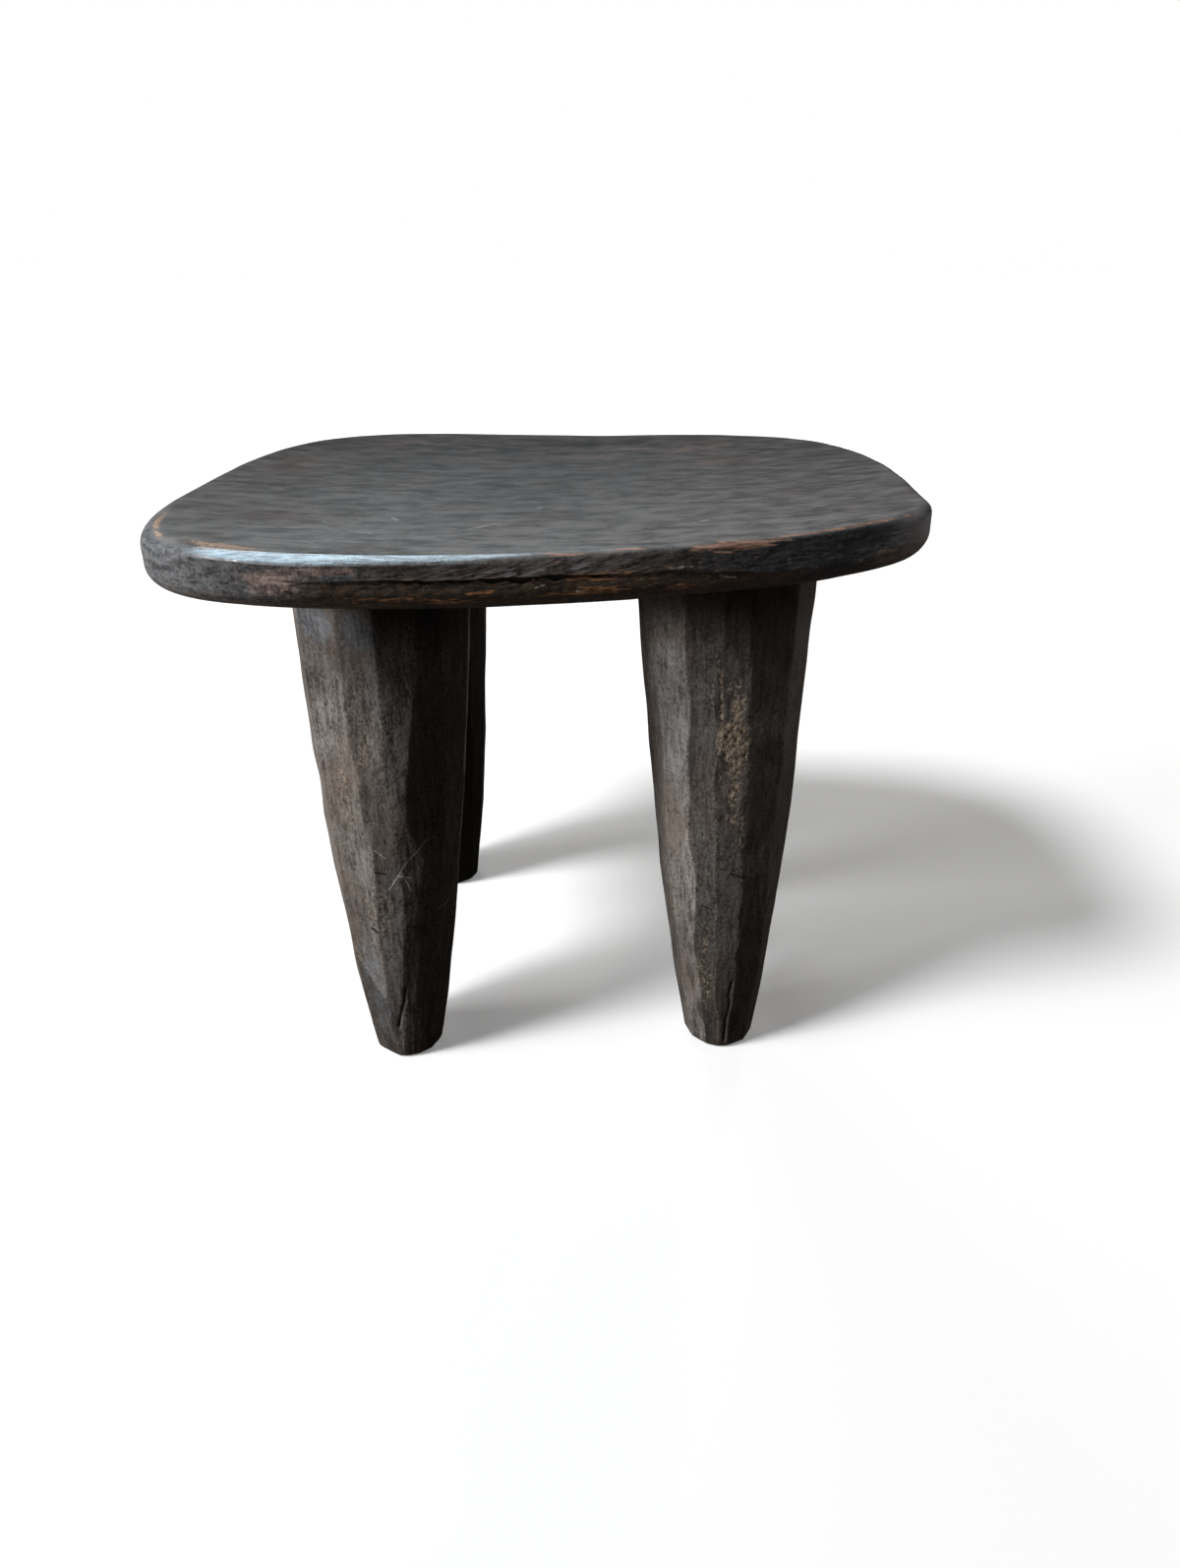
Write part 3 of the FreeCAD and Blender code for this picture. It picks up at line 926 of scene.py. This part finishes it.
def leg_wood():
    """Dry, smoke-darkened wood: gritty, mottled, worn edges, a tone of its own on each flat; painted shade
    under the seat and low down.
    """
    w = Wood("leg_wood")
    fibres = w.noise((1.9, 1.9, 17), 5, 0.66)
    mottle = w.noise((10, 10, 15), 6, 0.68)
    grit = w.noise((1.3, 1.3, 1.7), 3, 0.65)
    stain = w.noise((30, 30, 64), 3)
    drips = w.noise((4.6, 4.6, 80), 3, 0.6)
    blend = w.weigh((fibres, 0.36), (mottle, 0.28), (grit, 0.36))
    light = w.spread(blend, 0.42, 0.58)
    colour = w.mix(light, (0.056, 0.046, 0.04), (0.205, 0.186, 0.171))
    colour = w.mix(w.spread(stain, 0.47, 0.66, 0, 0.6), colour, (0.12, 0.092, 0.076))
    blue_grey = w.mix(light, (0.086, 0.09, 0.097), (0.215, 0.226, 0.24))
    colour = w.mix(w.times(w.mask("cool"), 0.8), colour, blue_grey)
    # painted shade: the legs darken towards the foot
    low = w.spread(w.part_of("Z", 135, 85), 0, 1, 1, 0.8)
    tone = w.times(w.spread(w.mask("tone"), -6, 3, 0.1, 1.45), low)
    colour = w.vector("SCALE", colour, tone)
    worn_edge = w.times(w.mask("edge"), w.spread(grit, 0.4, 0.6, 0, 0.6))
    colour = w.mix(worn_edge, colour, (0.26, 0.23, 0.2))
    colour = w.mix(w.spread(drips, 0.6, 0.74, 0, 0.55), colour, (0.036, 0.029, 0.025))
    foot = w.times(w.spread(drips, 0.5, 0.6, 0, 0.7), w.part_of("Z", 88, 24))
    colour = w.mix(foot, colour, (0.03, 0.026, 0.023))
    pits = w.noise((2.6, 2.6, 4.2), 2, 0.6)
    colour = w.mix(w.spread(pits, 0.66, 0.72, 0, 0.7), colour, (0.026, 0.021, 0.018))
    crumbs = w.noise((0.9, 0.9, 1.3), 3, 0.7)
    flecks = w.spread(w.weigh((crumbs, 0.55), (grit, 0.45), (w.mask("bare"), 0.18)), 0.64, 0.71)
    colour = w.mix(w.times(flecks, 0.85), colour, (0.35, 0.27, 0.19))
    front = w.part_of("Y", -88, -92)
    pale = w.times(w.scratches("XZ", LEG_SCRATCHES), front)
    pale = w.times(pale, w.spread(grit, 0.35, 0.55, 0.4, 1))
    colour = w.mix(pale, colour, (0.56, 0.54, 0.51))
    # painted shade under the seat, then the cracks and nicks; all of it is mixed towards near black
    shade_and_cracks = w.times(w.mask("dark"), w.spread(mottle, 0.3, 0.7, 0.75, 1))
    nicks = w.times(w.scratches("XZ", LEG_NICKS), front)
    crack = w.spread(w.mask("crack"), 0.45, 0.95)
    shade_and_cracks = w.larger(w.larger(shade_and_cracks, crack), nicks)
    colour = w.mix(shade_and_cracks, colour, (0.012, 0.01, 0.009))
    roughness = w.spread(mottle, 0.3, 0.7, 0.46, 0.66)
    height = w.weigh((fibres, 0.3), (grit, 0.45), (mottle, 0.6), (pits, -0.4))
    sockets = {"Base Color": colour, "Roughness": roughness, "Specular IOR Level": 0.1}
    return w.finish(height, 0.7 * MM, 0.7, sockets)


def seat_top_colour(w, streaks):
    """Charcoal grey with painted light in front and painted shade behind, where it is also browner, and
    dark grain at the right end.
    """
    hairs = w.noise((24, 1.2, 1.2), 3, 0.6)
    cloud = w.noise((48, 24, 24), 4, 0.62)
    haze = w.noise((15, 7, 7), 5, 0.62)
    light = w.spread(w.weigh((streaks, 0.26), (hairs, 0.08), (haze, 0.66)), 0.4, 0.6)
    # painted light and shade: paler in front, darker behind
    behind = w.part_of("Y", -130, 105)
    pale = w.mix(behind, (0.22, 0.214, 0.209), (0.07, 0.064, 0.06))
    deep = w.mix(behind, (0.088, 0.084, 0.08), (0.022, 0.019, 0.017))
    top = w.mix(light, deep, pale)
    brown = w.mix(light, (0.066, 0.053, 0.046), (0.146, 0.121, 0.106))
    clouds = w.ragged(w.mask("brown"), haze, 1.4, 0.5)
    clouds = w.larger(w.spread(cloud, 0.5, 0.62, 0, 0.4), clouds)
    top = w.mix(clouds, top, brown)
    top = w.mix(w.times(w.mask("dim"), 0.25), top, (0.052, 0.06, 0.064))
    grain = w.noise((24, 1.3, 25), 4, 0.6, (0, 0, math.radians(-21)))
    fan = w.times(w.spread(grain, 0.54, 0.62, 0, 0.62), w.part_of("X", 60, 150))
    top = w.mix(fan, top, (0.024, 0.021, 0.02))
    flecks = w.scratches("XY", TOP_FLECKS)
    return w.mix(w.times(flecks, 0.8), top, (0.54, 0.54, 0.54))


def seat_rim_colour(w, mottle, grit):
    """Stringy and nearly black along the front, mottled grey at the ends with painted sheen on the right
    one, brown below the split, and a painted highlight on the lip above it.
    """
    fibres = w.noise((12, 1.7, 1.6), 5, 0.68, (0, math.radians(14), 0))
    texture = w.spread(w.weigh((fibres, 0.4), (grit, 0.3), (mottle, 0.3)), 0.43, 0.57)
    rim = w.mix(texture, (0.006, 0.004, 0.003), (0.08, 0.066, 0.056))
    layers = w.noise((11, 11, 1.3), 4, 0.65)
    speckled = w.spread(w.weigh((grit, 0.35), (mottle, 0.3), (layers, 0.35)), 0.43, 0.57)
    cool = w.mix(speckled, (0.036, 0.038, 0.041), (0.164, 0.167, 0.173))
    night = w.mix(speckled, (0.005, 0.006, 0.008), (0.045, 0.047, 0.053))
    rim = w.mix(w.mask("night"), rim, night)
    rim = w.mix(w.mask("cool"), rim, cool)
    brown = w.mix(texture, (0.005, 0.003, 0.002), (0.07, 0.045, 0.029))
    rim = w.mix(w.mask("band"), rim, brown)
    # painted highlight along the lip above the split
    lip_highlight = w.times(w.mask("lip_highlight"), w.spread(fibres, 0.42, 0.58, 0, 0.8))
    rim = w.mix(lip_highlight, rim, (0.19, 0.13, 0.1))
    edge_brown = w.mix(speckled, (0.012, 0.007, 0.004), (0.1, 0.06, 0.036))
    rim = w.mix(w.times(w.mask("foot"), 0.6), rim, edge_brown)
    pink = w.mix(speckled, (0.07, 0.05, 0.044), (0.3, 0.222, 0.195))
    rim = w.mix(w.times(w.ragged(w.mask("pink"), mottle, 1.6, 0.2), 0.9), rim, pink)
    streaks = w.noise((7, 1.5, 0.7), 4, 0.6)
    rusty = w.mix(w.spread(streaks, 0.4, 0.6), (0.07, 0.032, 0.015), (0.34, 0.17, 0.08))
    rim = w.mix(w.ragged(w.mask("rust"), streaks, 2.5, 0.16), rim, rusty)
    # painted sheen on the rim's right end
    end_sheen = w.mix(mottle, (0.095, 0.092, 0.098), (0.335, 0.32, 0.33))
    rim = w.mix(w.mask("end"), rim, end_sheen)
    lines = w.noise((15, 2, 0.75), 2, 0.5, (0, math.radians(15), 0))
    hatch = w.times(w.mask("hatch"), w.spread(lines, 0.52, 0.59, 0, 0.75))
    rim = w.mix(hatch, rim, (0.24, 0.24, 0.244))
    specks = w.spread(w.weigh((grit, 1), (w.mask("speck"), 0.07)), 0.7, 0.75, 0, 0.8)
    marks = w.times(w.scratches("XZ", RIM_MARKS), w.part_of("Y", -100, -110))
    marks = w.times(marks, w.spread(grit, 0.42, 0.56, 0.1, 0.9))
    return w.mix(w.larger(specks, marks), rim, (0.36, 0.32, 0.28))


def seat_wood():
    """Rubbed charcoal-grey wood, streaked along the seat, browner and rougher round the rim."""
    w = Wood("seat_wood")
    streaks = w.noise((62, 3.6, 3.6), 5, 0.62)
    mottle = w.noise((4.2, 4.2, 3.3), 6, 0.7)
    grit = w.noise((1.5, 1.5, 1.3), 3, 0.68)
    colour = w.mix(w.mask("rim"), seat_top_colour(w, streaks), seat_rim_colour(w, mottle, grit))
    shreds = w.noise((11, 2, 1), 4, 0.6)
    rubbed = w.mix(w.spread(shreds, 0.4, 0.6), (0.12, 0.066, 0.046), (0.34, 0.205, 0.15))
    colour = w.mix(w.ragged(w.mask("worn"), shreds, 1.8, 0.12), colour, rubbed)
    rubbed_tan = w.mix(w.spread(grit, 0.4, 0.6), (0.24, 0.158, 0.11), (0.6, 0.425, 0.305))
    colour = w.mix(w.times(w.ragged(w.mask("tan"), mottle, 1.5, 0.2), 0.85), colour, rubbed_tan)
    split = w.spread(w.mask("dark"), 0.25, 0.75)
    colour = w.mix(split, colour, (0.007, 0.006, 0.005))
    smooth = w.spread(mottle, 0.3, 0.7, 0.4, 0.56)
    rough = w.times(w.maths("SUBTRACT", w.mask("rim"), w.mask("lit")), 0.1)
    roughness = w.maths("SUBTRACT", w.maths("ADD", smooth, rough), w.times(w.mask("polish"), 0.2))
    relief = w.maths("SUBTRACT", w.spread(w.mask("rim"), 0, 1, 1, 2), w.mask("lit"))
    rubs = w.noise((9, 1.2, 1), 4, 0.65)
    height = w.weigh(
        (streaks, 0.15),
        (w.times(mottle, relief), 0.45),
        (w.times(grit, relief), 0.25),
        (w.times(rubs, w.mask("polish")), 0.6),
    )
    polished = w.ragged(w.mask("polish"), rubs, 1.6, 0.2)
    return w.finish(height, 0.4 * MM, 0.5, {
        "Base Color": colour,
        "Roughness": roughness,
        "Specular IOR Level": 0.5,
        "Coat Weight": w.times(polished, w.spread(rubs, 0.4, 0.56, 0.12, 1)),
        "Coat Roughness": 0.16,
        "Coat IOR": 1.7,
    })


# Stage, light and camera

GLOSS_SHARE = 0.06  # how much of the white surroundings shows in the sheen of the wood
AMBIENT = 0.012
FLOOR_HALF = 12.0
WHITE = (1.0, 1.0, 1.0)
FLOOR_PAINT = 0.82  # with the glow, the lit floor just reaches white
DULL_FLOOR = (0.058, 0.048, 0.040)  # what the floor throws back on to the object
NEAR_GLOW = 0.21  # white added to the floor as seen, near the object and far from it
FAR_GLOW = 0.45
GLOW_REACH = (0.6, 1.8)  # metres from the middle
WARM = (1.0, 0.93, 0.86)
SKY = (0.62, 0.84, 1.0)


def seen_share(w):
    """One for a ray that shows the background: from the camera, off gloss or through glass."""
    path = w.node("LightPath").outputs
    seen = w.larger(path["Is Camera Ray"], w.times(path["Is Glossy Ray"], GLOSS_SHARE))
    return w.larger(seen, path["Is Transmission Ray"])


def floor_white():
    """White paint with a glow as it is seen, and dull as it lights the object."""
    material = new_material("floor_white")
    w = Wiring(material.node_tree)
    w.tree.nodes.clear()
    away = w.vector("LENGTH", w.node("TexCoord").outputs["Object"])
    glow = w.add("Emission", WHITE, w.spread(away, *GLOW_REACH, NEAR_GLOW, FAR_GLOW))
    paint = w.add("BsdfDiffuse", [FLOOR_PAINT] * 3)
    bright = w.add("AddShader", paint, glow)
    dull = w.add("BsdfDiffuse", DULL_FLOOR)
    mixed = w.add("MixShader", seen_share(w), dull, bright)
    w.feed(w.node("OutputMaterial").inputs["Surface"], mixed)
    return material


def floor():
    """Wide plain floor that shows white where it is lit, and keeps the object's shadow."""
    corners = [(-1, -1), (1, -1), (1, 1), (-1, 1)]
    mesh = bpy.data.meshes.new("floor")
    mesh.from_pydata([(x * FLOOR_HALF, y * FLOOR_HALF, 0.0) for x, y in corners], [], [(0, 1, 2, 3)])
    mesh.materials.append(floor_white())
    piece = add_object("floor", mesh)


def backdrop_light():
    """White world behind the object, and a dim even light on it."""
    world = bpy.data.worlds.new("studio")
    bpy.context.scene.world = world
    world.use_nodes = True
    w = Wiring(world.node_tree)
    level = w.spread(seen_share(w), 0.0, 1.0, AMBIENT, 1.0)
    w.fill(w.tree.nodes["Background"], {"Color": WHITE, "Strength": level})


def lamp(name, kind, place, target, energy, diffuse=True, glossy=True, **settings):
    """A lamp that lights surfaces, shows in their sheen, or both."""
    light = bpy.data.lights.new(name, kind)
    light.energy = energy
    for setting, value in settings.items():
        setattr(light, setting, value)
    holder = add_object(name, light)
    holder.location = place
    holder.visible_diffuse = diffuse
    holder.visible_glossy = glossy
    holder.rotation_mode = "QUATERNION"
    holder.rotation_quaternion = (Vector(target) - Vector(place)).to_track_quat("-Z", "Y")


def panel(name, place, target, energy, size, **settings):
    """A rectangular lamp."""
    lamp(name, "AREA", place, target, energy, shape="RECTANGLE", size=size[0], size_y=size[1], **settings)


def lights():
    """Window light from the left with a low lamp beside it, and weak lamps behind and on the right.

    The lamps overhead and at the right that show only in the sheen stand for pale surroundings.
    """
    middle = (0.0, 0.0, 0.15)
    window_size = math.radians(13.0)
    lamp("window", "SUN", (-1.26, -0.77, 1.85), middle, 2.9, angle=window_size, color=(0.98, 0.99, 1.0))
    panel("side", (-1.80, -0.62, 0.45), middle, 36.0, (0.7, 0.5), glossy=False)
    panel("overhead", (-0.58, 0.32, 1.70), (0.0, -0.1, 0.29), 21.0, (1.1, 0.95), diffuse=False, color=SKY)
    panel("behind", (-0.5, 1.75, 1.5), middle, 9.0, (0.8, 0.8), glossy=False)
    panel("right", (1.9, 0.07, 0.42), middle, 3.2, (0.2, 0.2), glossy=False, color=WARM)
    panel("back_right", (0.62, 1.8, 0.30), middle, 9.0, (0.3, 0.3), glossy=False, color=WARM)
    panel("right_sheen", (1.35, 0.30, 0.10), (0.16, -0.1, 0.28), 1.6, (1.2, 0.3), diffuse=False)


def camera():
    """The photograph's viewpoint."""
    data = bpy.data.cameras.new("camera")
    data.sensor_width = SENSOR_MM
    data.lens = FOCAL_PIXELS / IMAGE_HEIGHT * SENSOR_MM
    holder = add_object("camera", data)
    turned = Matrix.Rotation(-CAMERA_YAW, 4, "Z") @ Matrix.Rotation(math.pi / 2.0 - CAMERA_PITCH, 4, "X")
    rolled = turned @ Matrix.Rotation(-CAMERA_ROLL, 4, "Z")
    holder.matrix_world = Matrix.Translation(CAMERA_PLACE) @ rolled
    bpy.context.scene.camera = holder


def dress(piece, node, material):
    """Puts a skin in place of its solid."""
    piece.data.materials.append(material)
    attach(piece, BODY)
    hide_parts(node)


bpy.context.scene.view_settings.view_transform = "Standard"
dress(seat_skin(), "seat", seat_wood())
LEG_MATERIAL = leg_wood()
for leg_name in FLAT_FACINGS:
    dress(leg_skin(leg_name), leg_name, LEG_MATERIAL)
floor()
backdrop_light()
lights()
camera()
